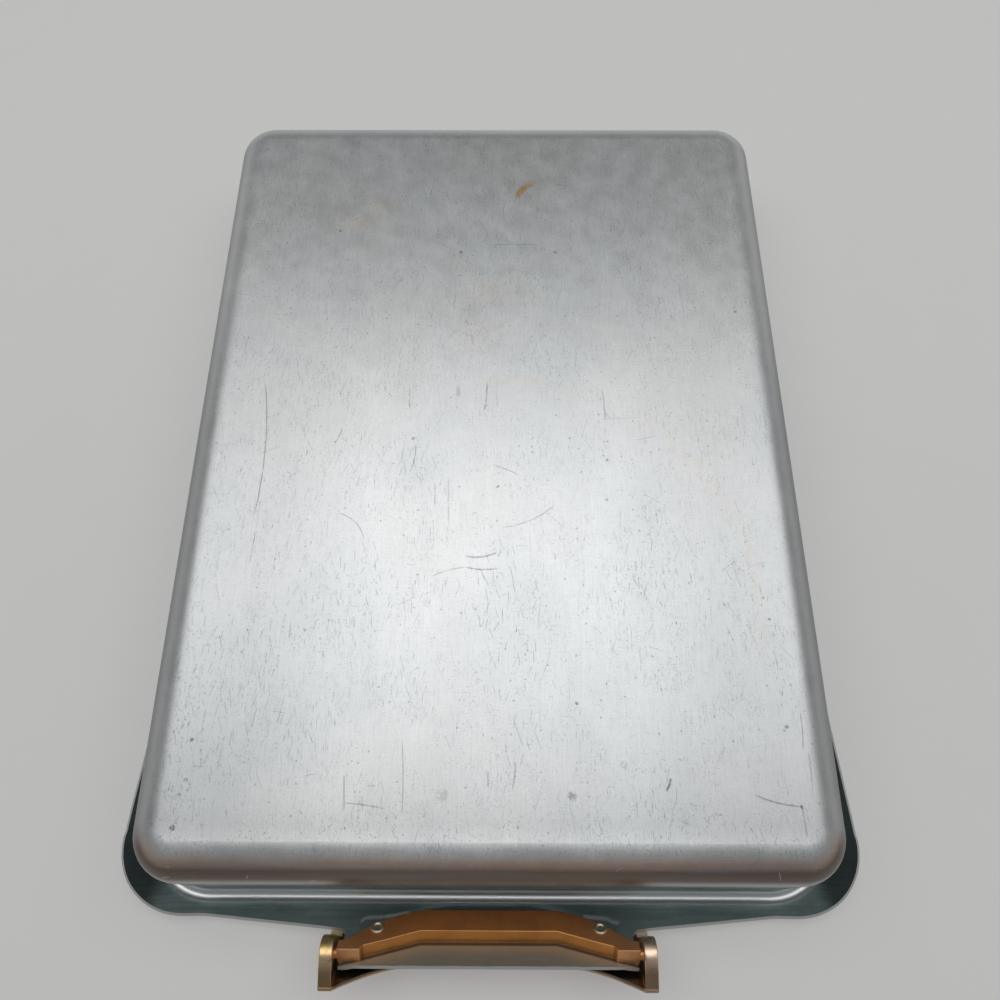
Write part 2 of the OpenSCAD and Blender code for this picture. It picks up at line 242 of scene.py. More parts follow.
class Finish:
    """A material under construction round its Principled shader."""

    def __init__(self, name, **constants):
        self.material = bpy.data.materials.new(name)
        self.material.use_nodes = True
        self.tree = self.material.node_tree
        self.shader = self.tree.nodes["Principled BSDF"]
        for socket, value in constants.items():
            self.shader.inputs[socket.replace("_", " ")].default_value = value
        self.place = self.node("ShaderNodeTexCoord", {}, {}, "Object")
        axes = self.node("ShaderNodeSeparateXYZ", {}, {0: self.place})
        self.x, self.y, self.z = axes, axes.other(1), axes.other(2)

    @classmethod
    def over(cls, tree):
        """The same tools over another node tree, such as the world's."""
        tools = cls.__new__(cls)
        tools.tree = tree
        return tools

    def join(self, socket, value):
        """Links a wire to the socket, or writes a plain value on it."""
        if isinstance(value, Wire):
            self.tree.links.new(value.socket, socket)
        elif socket.type == "RGBA":
            socket.default_value = (*value, 1)
        else:
            socket.default_value = value

    def node(self, kind, settings, sockets, output=0):
        """Adds a node: its settings come first, then the values or links of its sockets."""
        made = self.tree.nodes.new(kind)
        for name, value in settings.items():
            setattr(made, name, value)
        for name, value in sockets.items():
            self.join(made.inputs[name], value)
        return Wire(self, made.outputs[output])

    def mix(self, factor, first, second):
        """Blends two colours."""
        return self.node("ShaderNodeMix", {"data_type": "RGBA"}, {0: factor, 6: first, 7: second}, 2)

    def scaled(self, tone, scale):
        """A colour times a number."""
        return self.node("ShaderNodeVectorMath", {"operation": "SCALE"}, {0: tone, "Scale": scale})

    def tint(self, value, tone, strength):
        """Scales a colour's brightness by 1 + strength * (value - 0.5)."""
        return self.scaled(tone, (value - 0.5) * strength + 1)

    def noise(self, place, scale, detail, rough):
        """Noise between 0 and 1."""
        sockets = {"Vector": place, "Scale": scale, "Detail": detail, "Roughness": rough}
        return self.node("ShaderNodeTexNoise", {}, sockets)

    def clouds(self, size, detail=2.0, rough=0.5):
        """Noise between 0 and 1 with features about `size` millimetres wide."""
        return self.noise(self.place, 1 / (size * MM), detail, rough)

    def streaks(self, across, along, detail, rough, turn=0.0, high=None):
        """Noise drawn out into grain: its features are `across` wide, `along` long along Y and `high`
        high, which is `across` where it is left out, all in millimetres."""
        scale = (across * MM, along * MM, (across if high is None else high) * MM)
        sockets = {0: self.place, "Scale": scale, "Rotation": (0, 0, turn)}
        drawn = self.node("ShaderNodeMapping", {"vector_type": "TEXTURE"}, sockets)
        return self.noise(drawn, 1, detail, rough)

    def dashes(self, cell, turn, spread, long, wide, share, seed):
        """Scratches, at most one in each cell of a random pattern: `cell`, `long` and `wide` are
        millimetres, `turn` and `spread` the angle and its play, and `share` the part of the cells that
        has one."""
        cell, long, wide = cell * MM, long * MM, wide * MM
        shift = (seed, seed / 3, 0)
        moved = self.node("ShaderNodeVectorMath", {"operation": "ADD"}, {0: self.place, 1: shift})
        cells = self.node(
            "ShaderNodeTexVoronoi",
            {"voronoi_dimensions": "2D"},
            {"Vector": moved, "Scale": 1 / cell},
            "Position",
        )
        local = self.node("ShaderNodeVectorMath", {"operation": "SUBTRACT"}, {0: moved, 1: cells})
        dice = self.node(
            "ShaderNodeSeparateColor", {}, {0: self.node("ShaderNodeTexWhiteNoise", {}, {0: cells}, "Color")}
        )
        turned = self.node(
            "ShaderNodeVectorRotate",
            {"rotation_type": "Z_AXIS"},
            {"Vector": local, "Angle": (dice - 0.5) * spread - turn},
        )
        parts = self.node("ShaderNodeSeparateXYZ", {}, {0: turned})
        reach = (dice.other(1) * 0.8 + 0.2) * long
        bow = parts.other(1) * parts.other(1) * (dice.other(1) - 0.5) * 12
        across = abs(parts + bow).rise(wide, wide * 0.3)
        ends = abs(parts.other(1)).rise(reach, reach * 0.6)
        return across * ends * dice.other(2).rise(1 - share, 1.02 - share)

    def stroke(self, ax, ay, bx, by, wide, bow=0.0):
        """A scratch from (ax, ay) to (bx, by) in millimetres; bow is how far its middle stands off."""
        a, b = Vector((ax, ay)) * MM, Vector((bx, by)) * MM
        wide, bow = wide * MM, bow * MM
        run = (b - a).length
        along = (b - a) / run
        v = self.x * along.x + self.y * along.y - a.dot(along)
        u = self.x * along.y - self.y * along.x - (a.x * along.y - a.y * along.x)
        if bow:
            t = v * (2 / run) - 1
            u = u + (1 - t * t) * bow
        ends = v.rise(-wide, run * 0.12) * v.rise(run + wide, run * 0.88)
        return abs(u).rise(wide, wide * 0.3) * ends

    def spot(self, x, y, radius):
        """A round blot: its place and radius in millimetres."""
        dx, dy = self.x - x * MM, self.y - y * MM
        area = (radius * MM) ** 2
        return (dx * dx + dy * dy).rise(area, area * 0.2)

    def lay(self, **surface):
        """Feeds the shader: colour, rough, metal, and height in metres for the bump."""
        names = {"colour": "Base Color", "rough": "Roughness", "metal": "Metallic"}
        for name, wire in surface.items():
            if name == "height":
                wire = self.node("ShaderNodeBump", {}, {"Strength": 1.0, "Distance": 1.0, "Height": wire})
                self.join(self.shader.inputs["Normal"], wire)
            else:
                self.join(self.shader.inputs[names[name]], wire)
        return self.material


MARKS = (
    # scratches on the bottom: start and end, width and bow in millimetres, then depth of tone
    (-83.9, 29.1, -81.5, -26.5, 0.3, 2.2, 0.75), (-80.2, -30.4, -80.8, -42.4, 0.25, 0.0, 0.45),
    (96.7, -89.3, 96.0, -100.5, 0.28, 0.3, 0.7), (97.6, -101.0, 97.2, -112.0, 0.4, 0.2, 0.4),
    (79.9, -113.4, 93.4, -116.6, 0.32, -0.6, 0.75), (93.5, -116.0, 93.9, -125.1, 0.34, 0.0, 0.6),
    (-19.7, -46.1, -8.4, -42.9, 0.28, 0.5, 0.55), (-8.4, -42.9, 2.6, -43.3, 0.34, -0.6, 0.85),
    (-9.0, -38.9, 2.2, -37.6, 0.34, -1.1, 0.8), (-2.0, 27.8, -2.8, 15.8, 0.34, 0.3, 0.7),
    (0.7, -5.7, 9.5, -9.4, 0.26, 0.3, 0.6), (3.6, -28.9, 21.8, -20.7, 0.28, -1.6, 0.55),
    (-52.8, -23.8, -42.9, -33.9, 0.26, 2.2, 0.6), (-53.7, 8.5, -55.8, 2.9, 0.34, 0.2, 0.7),
    (-27.1, 2.4, -28.6, -8.5, 0.3, 0.6, 0.6), (-30.6, 3.0, -31.6, -5.5, 0.28, -0.5, 0.5),
    (-15.1, -9.1, -14.6, -27.0, 0.4, 0.0, 0.35), (-19.7, -12.6, -19.4, -20.8, 0.42, 0.0, 0.4),
    (-12.7, 26.4, -12.2, 21.9, 1.1, 0.0, 0.35), (-30.4, 25.7, -30.0, 16.7, 0.4, 0.0, 0.4),
    (-1.4, 89.7, 18.4, 89.7, 0.45, 0.4, 0.45), (-43.9, -108.0, -43.1, -118.1, 0.26, 0.0, 0.8),
    (-43.2, -116.1, -30.9, -117.7, 0.34, 0.2, 0.55), (-26.8, -98.1, -25.7, -119.9, 0.24, 0.3, 0.6),
    (7.9, -103.8, 7.0, -112.3, 0.3, 0.4, 0.6), (-0.3, -106.9, -0.2, -111.5, 0.34, 0.0, 0.55),
    (55.0, -109.0, 53.5, -112.2, 0.5, 0.2, 1.1), (24.0, 60.6, 27.0, 71.6, 0.25, 0.0, 0.35),
    (40.1, 24.4, 40.7, 12.1, 0.35, 0.3, 0.6),
)
SPOTS = (
    # dark blots on the bottom: place and radius in millimetres, then depth of tone
    (-93.6, -123.2, 1.1, 1.0), (-100.3, -122.2, 0.8, 0.9), (-91.6, -109.9, 0.8, 0.8),
    (-91.5, -98.3, 0.7, 0.7), (-93.0, -114.1, 0.7, 0.7), (-14.0, -113.8, 2.2, 0.35),
    (27.4, -86.8, 0.8, 0.9), (92.4, 58.3, 0.8, 0.9), (-60.0, -64.2, 0.6, 0.8), (-12.9, 86.3, 1.0, 0.7),
    (24.3, 86.3, 1.0, 0.7), (40.7, -3.6, 0.6, 0.9), (39.9, -18.7, 0.6, 0.8), (41.2, 3.6, 0.5, 0.8),
    (-61.5, 96.6, 0.7, 0.8), (2.1, -13.7, 0.8, 0.8), (14.3, 4.9, 0.6, 0.8), (14.2, 1.6, 0.5, 0.8),
    (14.2, -0.6, 0.5, 0.7), (25.0, -114.0, 1.8, 0.6), (93.4, -116.7, 0.7, 0.9), (92.0, -93.6, 0.9, 0.6),
    (95.0, -81.0, 0.6, 0.6), (89.6, -53.0, 0.5, 0.7), (90.8, -60.0, 0.6, 0.8), (41.0, -105.0, 1.3, 0.3),
    (-28.0, 4.6, 0.8, 0.6), (-61.5, 9.4, 0.6, 0.5),
)


def worn_sheet(c):
    """Bare aluminium of the pan: satin, scratched lengthwise and stained, with shade, a highlight and a warm
    reflection painted down the walls and along the bottom's edges.
    """
    f = Finish("worn_sheet", Metallic=1.0)
    flat = f.z.span(43.2, 43.7)
    near = f.y.span(-121, -130)
    # painted shade: brightness scaled down the side walls and down the front wall, from the bottom's edge to
    # the fold, with a painted highlight along the bottom's front edge and painted shade on the bottom's
    # flanks
    sides = 1 - f.z.span(43.3, 38.2) * 0.54 - f.z.span(38.8, 35.6) * 0.20
    sides = sides + f.z.span(35, 25) * 0.50
    front = 1.30 - f.z.span(43.8, 40.9) * 1.04 + f.z.span(38.6, 35.5) * 0.45
    front = front - f.z.span(34, 22) * 0.36
    flank_shade = abs(f.x).span(38, 80) * f.y.span(70, 0)
    shade = (sides + near * (front - sides)) * (1 - flank_shade * 0.15)
    # grain, frosty mottling and a faint weave of short lines
    grain = f.streaks(0.35, 14, 3.0, 0.65)
    cross = f.streaks(9, 0.5, 2.0, 0.6)
    weft = f.streaks(5, 0.42, 2.0, 0.6)
    warp = f.streaks(0.42, 5, 2.0, 0.6, 0.05)
    frost = f.clouds(0.42, 2.0, rough=0.7)
    cloud = f.clouds(60, 4.0)
    mottle = f.clouds(7, 5.0, rough=0.62)
    soft = f.streaks(21, 33.6, 4.0, 0.6)
    fine = f.dashes(4.2, 0.0, 0.9, 3.0, 0.15, 0.85, 0.1)
    tiny = f.dashes(2.3, 0.0, 3.1, 0.9, 0.14, 0.55, 0.4)
    bold = f.dashes(14, 0.1, 0.9, 6, 0.20, 0.5, 0.7)
    slants = f.dashes(17, 0.9, 2.8, 5, 0.16, 0.5, 0.9)
    dots = f.dashes(7, 0.0, 3.1, 0.55, 0.34, 0.5, 0.25)
    worn = f.clouds(30, 3.0, rough=0.6).rise(0.42, 0.64)
    scratches = (fine * 0.5 + tiny * 0.45) * (worn * 0.75 + 0.25) + bold * 0.45 * worn
    scratches = scratches + slants * 0.35 + dots * 0.5
    pits = f.clouds(0.6, 3.0, rough=0.6).rise(0.60, 0.70)
    pits = pits * f.clouds(9, 3.0, rough=0.6).rise(0.40, 0.60)
    hairs = f.streaks(0.3, 3.2, 2.0, 0.55).rise(0.60, 0.72)
    hairs = hairs * f.clouds(18, 3.0, rough=0.62).rise(0.42, 0.60)
    marks = 0.0
    broken = f.clouds(3.1, 2.0).rise(0.3, 0.5) * 0.6 + 0.4
    for *mark, tone in MARKS:
        marks = f.stroke(*mark) * (tone * 0.8) * broken + marks
    ragged = f.clouds(1.1, 3.0, rough=0.7).rise(0.36, 0.56)
    for x, y, radius, tone in SPOTS:
        marks = f.spot(x, y, radius) * ragged * tone + marks
    # the crowded wear along the front edge and down the left side
    left = f.x.span(-82, -90) * f.y.span(0, -60)
    edge = f.y.span(-108, -121).at_least(left)
    crowd = f.dashes(1.9, 0.2, 2.0, 1.2, 0.17, 0.6, 0.6) * edge * mottle.rise(0.42, 0.58)
    dark = (scratches + pits * 0.6 + hairs * 0.5 + crowd * 0.45) * (flat * 0.85 + 0.15)
    dark = (dark + marks * flat).at_most(1.0)
    # warm water stains, an orange smear, and a wide faint arc left by a round pot
    damp = f.spot(-50, 105, 17) * 0.5 + f.spot(-4, 62, 28) * 0.2
    damp = damp * f.clouds(15, 3.0).rise(0.4, 0.7)
    dx, dy = f.x - 5 * MM, f.y + 55 * MM
    ring_radius = 83 * MM
    ring = abs((dx * dx + dy * dy) ** 0.5 - ring_radius).span(3.2, 1) * (f.x + f.y).span(0, 30)
    warm = (damp + ring * mottle.rise(0.35, 0.6) * 0.18) * flat
    smear = f.stroke(9.6, 114.4, 15.8, 121.4, 2.1, 0.8) * mottle.rise(0.3, 0.55)
    tone = f.mix(cloud.rise(0.35, 0.7) * 0.5, c.bare, (0.64, 0.675, 0.695))
    tone = f.mix(warm * 0.8, tone, (0.76, 0.66, 0.50))
    tone = f.mix(smear * flat * 0.85, tone, (0.62, 0.36, 0.08))
    # a painted warm reflection, in brown streaks along the upper front wall
    reflection_streaks = f.streaks(45, 2.2, 3.0, 0.5)
    warm_reflection = near * f.z.span(43.8, 42.4) * f.z.span(34.5, 38.5)
    tone = f.mix(warm_reflection * reflection_streaks.rise(0.1, 0.55), tone, (0.72, 0.55, 0.46))
    layers = (mottle, 0.22), (soft, 0.16), (grain, 0.16), (weft, 0.13), (warp, 0.15), (frost, 0.30)
    for layer, strength in layers:
        tone = f.tint(layer, tone, strength)
    tone = f.scaled(tone, shade)
    # pale knocks on the edge round the bottom
    knocks = f.dashes(6, 0.5, 3.1, 1.6, 0.2, 0.3, 0.35) * f.z.span(43.6, 42.5)
    knocks = knocks * f.z.span(36, 38)
    tone = f.mix(knocks * 0.45, tone, (0.62, 0.62, 0.60))
    tone = f.mix(dark * 0.8, tone, (0.13, 0.135, 0.14))
    rough = 0.36 + (cloud - 0.5) * 0.10 + (mottle - 0.5) * 0.14 + (frost - 0.5) * 0.12
    rough = rough + cross * 0.03 + dark * 0.1
    # scratches stay out of the bump, or the shader grows too large to compile
    height = grain * 2.2e-6 + cross * 1.2e-6 + mottle * 6e-6 + frost * 1.6e-6
    return f.lay(colour=tone, rough=rough, height=height)


PAD_HIGHLIGHTS = (
    # painted highlight along the shoulder of the pressed pad beside each rivet: start, end and bow in
    # millimetres
    (-41.7, -152.4, -39.6, -151.5, 0.2), (-39.6, -151.5, -35.0, -151.4, 0.0),
    (-35.0, -151.4, -26.2, -150.3, 0.0), (42.0, -152.5, 38.5, -151.6, 0.2),
    (38.5, -151.6, 30.7, -151.0, 0.0),
)


def teal_coat(c):
    """Anodised coat of the apron: dark teal, with soft streaks along the front and scuffs."""
    f = Finish("teal_coat")
    streak = f.streaks(24, 1.0, 3.0, 0.55)
    fine = f.streaks(9, 0.25, 2.0, 0.6)
    cloud = f.clouds(26, 3.0)
    scuffs = f.dashes(9, 1.57, 0.35, 5, 0.16, 0.35, 0.2)
    mottle = f.clouds(2.4, 4.0, rough=0.65)
    side = abs(f.x).span(108, 114)
    tab = f.y.span(-154.2, -157.5) * abs(f.x).span(47, 46)
    low = f.z.span(10.5, 5.0)
    # paler streaks along the front: the coat's own streaks, with painted light making them stronger towards
    # the fold
    tone = f.mix(streak.rise(0.35, 0.72) * (low * 0.6 + 0.2), c.teal, (0.48, 0.55, 0.55))
    # painted shade on the middle of the apron, beside the bracket and the handle
    tone = f.mix(abs(f.x).span(62, 25) * 0.55, tone, (0.09, 0.125, 0.12))
    tone = f.tint(cloud, tone, 0.4)
    tone = f.tint(mottle, tone, 0.35)
    # painted shade: the aprons along the sides made near black
    tone = f.mix(side * 0.75, tone, (0.022, 0.032, 0.031))
    fold = f.z.span(2.7, 1.6)
    tone = f.mix(fold * (0.95 - side * 0.6), tone, (0.80, 0.81, 0.82))
    tone = f.mix(tab, tone, (0.37, 0.36, 0.30))
    # painted contact shadow: a dark line where the bracket stands on the tab, straight in the middle, then
    # bending forwards
    line_y, straight, bend = -157.6 * MM, 21.5 * MM, 0.197
    under = f.y - line_y + (abs(f.x) - straight).at_least(0.0) * bend
    under = abs(under).span(0.6, 0.15)
    tone = f.mix(scuffs * 0.4 * (1 - side), tone, (0.45, 0.5, 0.5))
    # painted highlight on the pad's shoulders
    shoulder = 0.0
    for *line, bow in PAD_HIGHLIGHTS:
        shoulder = f.stroke(*line, 0.65, bow) + shoulder
    tone = f.mix(shoulder.at_most(1.0) * 0.9, tone, (0.62, 0.66, 0.66))
    tone = f.mix(under * 0.8, tone, (0.02, 0.015, 0.01))
    rough = 0.32 + (mottle - 0.5) * 0.14 + fine * 0.06 + scuffs * 0.1 + tab * 0.18
    metal = 0.62 + (fold * 0.35).at_least(tab * 0.12)
    height = streak * 1.2e-5 + fine * 1.6e-6 + mottle * 4e-6
    return f.lay(colour=tone, rough=rough, metal=metal, height=height)


def sheared_edge(c):
    """The sheet's raw cut edge."""
    f = Finish("sheared_edge", Metallic=0.75)
    nicks = f.clouds(0.9, 4.0, rough=0.7)
    tone = f.mix(nicks.rise(0.55, 0.75) * 0.45, c.cut, (0.42, 0.43, 0.42))
    return f.lay(colour=tone, rough=0.42 + nicks * 0.25, height=nicks * 5e-5)


def inner_sheet(c):
    """The pan's inside: plain satin sheet with drawing lines."""
    f = Finish("inner_sheet", Metallic=1.0)
    lines = f.streaks(0.5, 18, 3.0, 0.6)
    cloud = f.clouds(30, 4.0)
    tone = f.tint(cloud, f.tint(lines, c.bare, 0.15), 0.15)
    return f.lay(colour=tone, rough=0.34 + lines * 0.1 + (cloud - 0.5) * 0.08, height=lines * 2e-6)


def copper_coat(c):
    """Copper-coloured coat of the cast bracket, slightly pebbled and rubbed at its edges."""
    f = Finish("copper_coat", Metallic=0.85)
    pebble = f.clouds(0.8, 3.0, rough=0.6)
    cloud = f.clouds(9, 4.0)
    specks = f.clouds(0.45, 2.0).rise(0.66, 0.74)
    edge = f.node("ShaderNodeNewGeometry", {}, {}, "Pointiness").rise(0.51, 0.56)
    tone = f.mix(cloud.rise(0.4, 0.7) * 0.5, c.copper, (0.56, 0.22, 0.065))
    tone = f.tint(pebble, tone, 0.25)
    tone = f.mix(edge * 0.5, tone, (0.72, 0.44, 0.27))
    tone = f.mix(specks * 0.35, tone, (0.12, 0.07, 0.04))
    return f.lay(colour=tone, rough=0.36 + (pebble - 0.5) * 0.18 + cloud * 0.06, height=pebble * 1.6e-5)


def brass_patina(c):
    """Gold patina of the release handle, gone pink and brown in places."""
    f = Finish("brass_patina", Metallic=1.0)
    cloud = f.clouds(5, 5.0, rough=0.68)
    pebble = f.clouds(0.6, 3.0, rough=0.6)
    right = f.x.span(-30, 30)
    brown = f.clouds(3.2, 4.0, rough=0.7).rise(0.52, 0.72)
    face = abs(f.x).span(47.4, 46.6)
    tone = f.mix((cloud.rise(0.4, 0.6) * 0.6 + right * 0.7).at_most(1.0), c.brass, c.rose)
    # painted shade: the handle's face made darker brown than the ears
    tone = f.mix(face * 0.75, tone, (0.30, 0.215, 0.16))
    tone = f.mix(f.y.span(-159.5, -164.5) * (1 - face) * 0.75, tone, (0.24, 0.15, 0.09))
    # the face's inner side, in the shade of the tab: `off` is the height over the apron's upper face
    foot_y, foot_z, lean = -147.83 * MM, 2.16 * MM, math.radians(APRON_DEGREES)
    off = (f.y - foot_y) * math.sin(lean) + (f.z - foot_z) * math.cos(lean)
    tone = f.mix(off.span(-3.6, -3.15) * face * 0.85, tone, (0.05, 0.033, 0.024))
    tone = f.mix(brown * 0.7, tone, (0.22, 0.13, 0.06))
    tone = f.tint(pebble, tone, 0.3)
    rough = 0.34 + (cloud - 0.5) * 0.3 + brown * 0.12
    return f.lay(colour=tone, rough=rough, height=pebble * 1.4e-5 + cloud * 2e-5)


def tarnished_rivet(c):
    """Bright rivet metal with grey in its hollows."""
    f = Finish("tarnished_rivet", Metallic=1.0)
    blot = f.clouds(0.9, 3.0, rough=0.65)
    tone = f.mix(blot.rise(0.5, 0.7) * 0.6, c.rivet, (0.30, 0.27, 0.22))
    return f.lay(colour=tone, rough=0.36 + blot * 0.18, height=blot * 1e-5)


def brushed_grid(c, name="brushed_grid", shade=1.0):
    """Satin aluminium of the grids, with rolling lines and faint water marks."""
    f = Finish(name, Metallic=1.0)
    lines = f.streaks(12, 12, 3.0, 0.6)
    rolled = f.streaks(30, 30, 3.0, 0.5, high=0.25)
    water = f.clouds(14, 5.0, rough=0.65).rise(0.55, 0.7)
    base = tuple(channel * shade for channel in c.grid)
    tone = f.tint(lines, f.tint(rolled, base, 0.2), 0.12)
    tone = f.mix(water * 0.3, tone, (0.62, 0.64, 0.63))
    return f.lay(colour=tone, rough=0.33 + rolled * 0.12 + water * 0.1, height=rolled * 3e-6)


def plain_steel(c):
    """Turned steel of the pins."""
    f = Finish("plain_steel", Metallic=1.0)
    rings = f.streaks(0.2, 10, 2.0, 0.5, high=10)
    tone = f.tint(rings, (0.50, 0.50, 0.49), 0.3)
    return f.lay(colour=tone, rough=0.3 + rings * 0.1, height=rings * 3e-6)


# ---------------------------------------------------------------- meshes


def add_piece(name, vertices, faces, materials, body, slot, replaced=(), face_materials=None):
    """Links a mesh piece, gives it its finish, lets it ride on its body and stand for its CAD nodes."""
    mesh = bpy.data.meshes.new(name)
    mesh.from_pydata([tuple(v) for v in vertices], [], faces)
    for material in materials:
        mesh.materials.append(material)
    for polygon in mesh.polygons:
        polygon.use_smooth = True
        polygon.material_index = face_materials[polygon.index] if face_materials else 0
    mesh.update()
    piece = bpy.data.objects.new(name, mesh)
    bpy.context.scene.collection.objects.link(piece)
    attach(piece, body)
    if replaced:
        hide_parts(*replaced)
    return piece


def rounded(piece, width, segments=3, limit=35):
    """Rounds a piece's edges that turn by more than limit degrees, and keeps its flats flat."""
    bevel = piece.modifiers.new("rounding", "BEVEL")
    bevel.width = width
    bevel.segments = segments
    bevel.limit_method = "ANGLE"
    bevel.angle_limit = math.radians(limit)
    bevel.harden_normals = True


def arc(centre, radius, start, end, steps):
    """Points of an arc, angles in degrees."""
    turns = [math.radians(start + (end - start) * i / steps) for i in range(steps + 1)]
    return [(centre[0] + radius * math.cos(t), centre[1] + radius * math.sin(t)) for t in turns]


def ease(value, low, high):
    """Smooth step from 0 at low to 1 at high."""
    t = min(max((value - low) / (high - low), 0.0), 1.0)
    return t * t * (3 - 2 * t)


FORWARDS = (0.0, -1.0)
FOLD_STEPS = 9


class PanForm:
    """The pan's profile, plan and apron, worked out from its sizes."""

    def __init__(self, pan, apron, handle):
        self.pan, self.apron = pan, apron
        d, s = pan.draft, apron.slope
        self.centre_y = PAN_BOX[1].y - pan.length / 2 - pan.side_lip
        self.mid = (pan.width / 2 - pan.corner_radius, pan.length / 2 - pan.corner_radius)
        outer_fold = pan.sheet + pan.fold_radius
        self.fold = ((pan.fold_radius - outer_fold * math.sin(d)) / math.cos(d), outer_fold)
        drop = pan.height - pan.edge_radius
        self.edge = (-drop * math.tan(d) - pan.edge_radius / math.cos(d), drop)
        self.foot = (
            self.fold[0] + pan.fold_radius * math.sin(s),
            self.fold[1] - pan.fold_radius * math.cos(s),
        )
        self.bracket_half = handle.width / 2 - handle.ear - 0.8 * MM
        self.tab_half = self.bracket_half - 0.5 * MM

    def on_apron(self, x, up, off):
        """A point given across the tray, up the apron's slope and off its upper face."""
        s = self.apron.slope
        y = self.centre_y - self.pan.length / 2 - self.foot[0] - up * math.cos(s) + off * math.sin(s)
        return Vector((x, y, self.foot[1] + up * math.sin(s) + off * math.cos(s)))

    def profile(self):
        """[outwards from the wall's line, height] from the bottom's edge to the foot of the apron."""
        draft = math.degrees(self.pan.draft)
        slope = math.degrees(self.apron.slope)
        edge = arc(self.edge, self.pan.edge_radius, 90, draft, 14)
        fold = arc(self.fold, self.pan.fold_radius, 180 + draft, 270 + slope, FOLD_STEPS)
        wall_steps = 5
        wall = [
            tuple(edge[-1][k] + (fold[0][k] - edge[-1][k]) * i / wall_steps for k in (0, 1))
            for i in range(1, wall_steps)
        ]
        return edge + wall + fold

    def half_width(self, y):
        """Half the rim's width at a distance along the tray, swelling towards the front corners."""
        front_side = self.pan.width / 2 + self.pan.corner_lip
        side = self.pan.width / 2 + self.pan.side_lip
        steps = (
            (-self.rim_centre()[1], front_side),
            (38 * MM - self.mid[1], side + 0.9 * MM),
            (83 * MM - self.mid[1], side),
        )
        if y <= steps[0][0]:
            return front_side
        for (y0, w0), (y1, w1) in zip(steps, steps[1:]):
            if y < y1:
                return w0 + (w1 - w0) * (y - y0) / (y1 - y0)
        return side

    def rim_centre(self):
        """Centre of the rim's front corner arcs, as distances from the middle."""
        r = self.pan.rim_radius
        return (self.pan.width / 2 + self.pan.corner_lip - r, self.pan.length / 2 + self.pan.front_lip - r)

    def inside_rim(self, x, y):
        """Whether a point of the plan lies inside the rim's outline, x and y from the walls' middle."""
        x = abs(x)
        fx, fy = self.rim_centre()
        if y < -fy:
            return math.hypot(max(x - fx, 0), y + fy) < self.pan.rim_radius
        if y > self.mid[1]:
            reach = self.pan.corner_radius + self.pan.side_lip
            return math.hypot(max(x - self.mid[0], 0), y - self.mid[1]) < reach
        return x < sum(self.half_width(y + k * 6 * MM) for k in (-1, 0, 1)) / 3

    def apron_length(self, centre, out):
        """How far the apron runs up its slope at a station of the plan."""
        if out == FORWARDS:
            x = abs(centre[0])
            start = self.tab_half + self.apron.notch_radius
            along = min(max((self.mid[0] - x) / (self.mid[0] - start), 0.0), 1.0)
            return self.apron.low + (self.apron.high - self.apron.low) * along
        low, high = 0.0, 20 * MM
        for _ in range(24):
            middle = (low + high) / 2
            reach = self.pan.corner_radius + middle
            if self.inside_rim(centre[0] + out[0] * reach, centre[1] + out[1] * reach):
                low = middle
            else:
                high = middle
        slope = self.apron.slope
        return (low - self.foot[0] - self.pan.sheet * math.sin(slope)) / math.cos(slope)

    def sides(self):
        """Stations of the front, right, back and left sides, each from the middle of one corner to the
        middle of the next: a corner's centre or a place on the straight, and the way out from there."""
        mx, my = self.mid
        tab = self.tab_half + self.apron.notch_radius
        shoulder, middle, long = 10, 64, 64
        xs = [-mx + (mx - tab) * i / shoulder for i in range(shoulder)]
        xs += [-tab + 2 * tab * i / middle for i in range(middle + 1)]
        xs += [tab + (mx - tab) * i / shoulder for i in range(1, shoulder + 1)]
        ys = [-my + 2 * my * i / long for i in range(long + 1)]

        def turn(corner, start, steps=12):
            angles = [math.radians(start + 45 * i / steps) for i in range(steps + 1)]
            return [(corner, (math.cos(a), math.sin(a))) for a in angles]

        def side(first, second, start, straight):
            return turn(first, start)[:-1] + straight + turn(second, (start + 45) % 360)[1:]

        front = side((-mx, -my), (mx, -my), 225, [((x, -my), FORWARDS) for x in xs])
        right = side((mx, -my), (mx, my), 315, [((mx, y), (1.0, 0.0)) for y in ys])
        back = side((mx, my), (-mx, my), 45, [((x, my), (0.0, 1.0)) for x in xs[::-1]])
        left = side((-mx, my), (-mx, -my), 135, [((-mx, y), (-1.0, 0.0)) for y in ys[::-1]])
        return front, right, back, left

    def pad(self, x, up):
        """Height of the pressed pad that the bracket sits on."""
        x = abs(x)
        lower = 6 * MM - max(33 * MM - x, 0) * 0.27 + max(x - 38.5 * MM, 0) ** 2 / (6 * MM)
        inside = ease(up, lower - 0.9 * MM, lower + 0.5 * MM) * ease(43.6 * MM - x, 0, 1.5 * MM)
        off_crease = (x - 27 * MM - (up - 18 * MM) * 0.25) / (0.9 * MM)
        crease = math.exp(-(off_crease**2)) * ease(up, 15 * MM, 19 * MM)
        return self.apron.pad_height * (inside - 0.35 * crease)

    def sag(self, x, y):
        """Depth of the bottom's wide hollows."""
        wave = math.sin(x * 31 + 1.1) * math.cos(y * 23 - 0.4) + 0.6 * math.sin(x * 17 - y * 41 + 2.0)
        edge = ease(min(self.mid[0] - abs(x), self.mid[1] - abs(y)), -2 * MM, 22 * MM)
        return -self.pan.unevenness * edge * (1.6 + wave) / 2

    def foot_point(self, station, off):
        (cx, cy), (ox, oy) = station
        reach = self.pan.corner_radius + off
        return cx + ox * reach, cy + oy * reach + self.centre_y


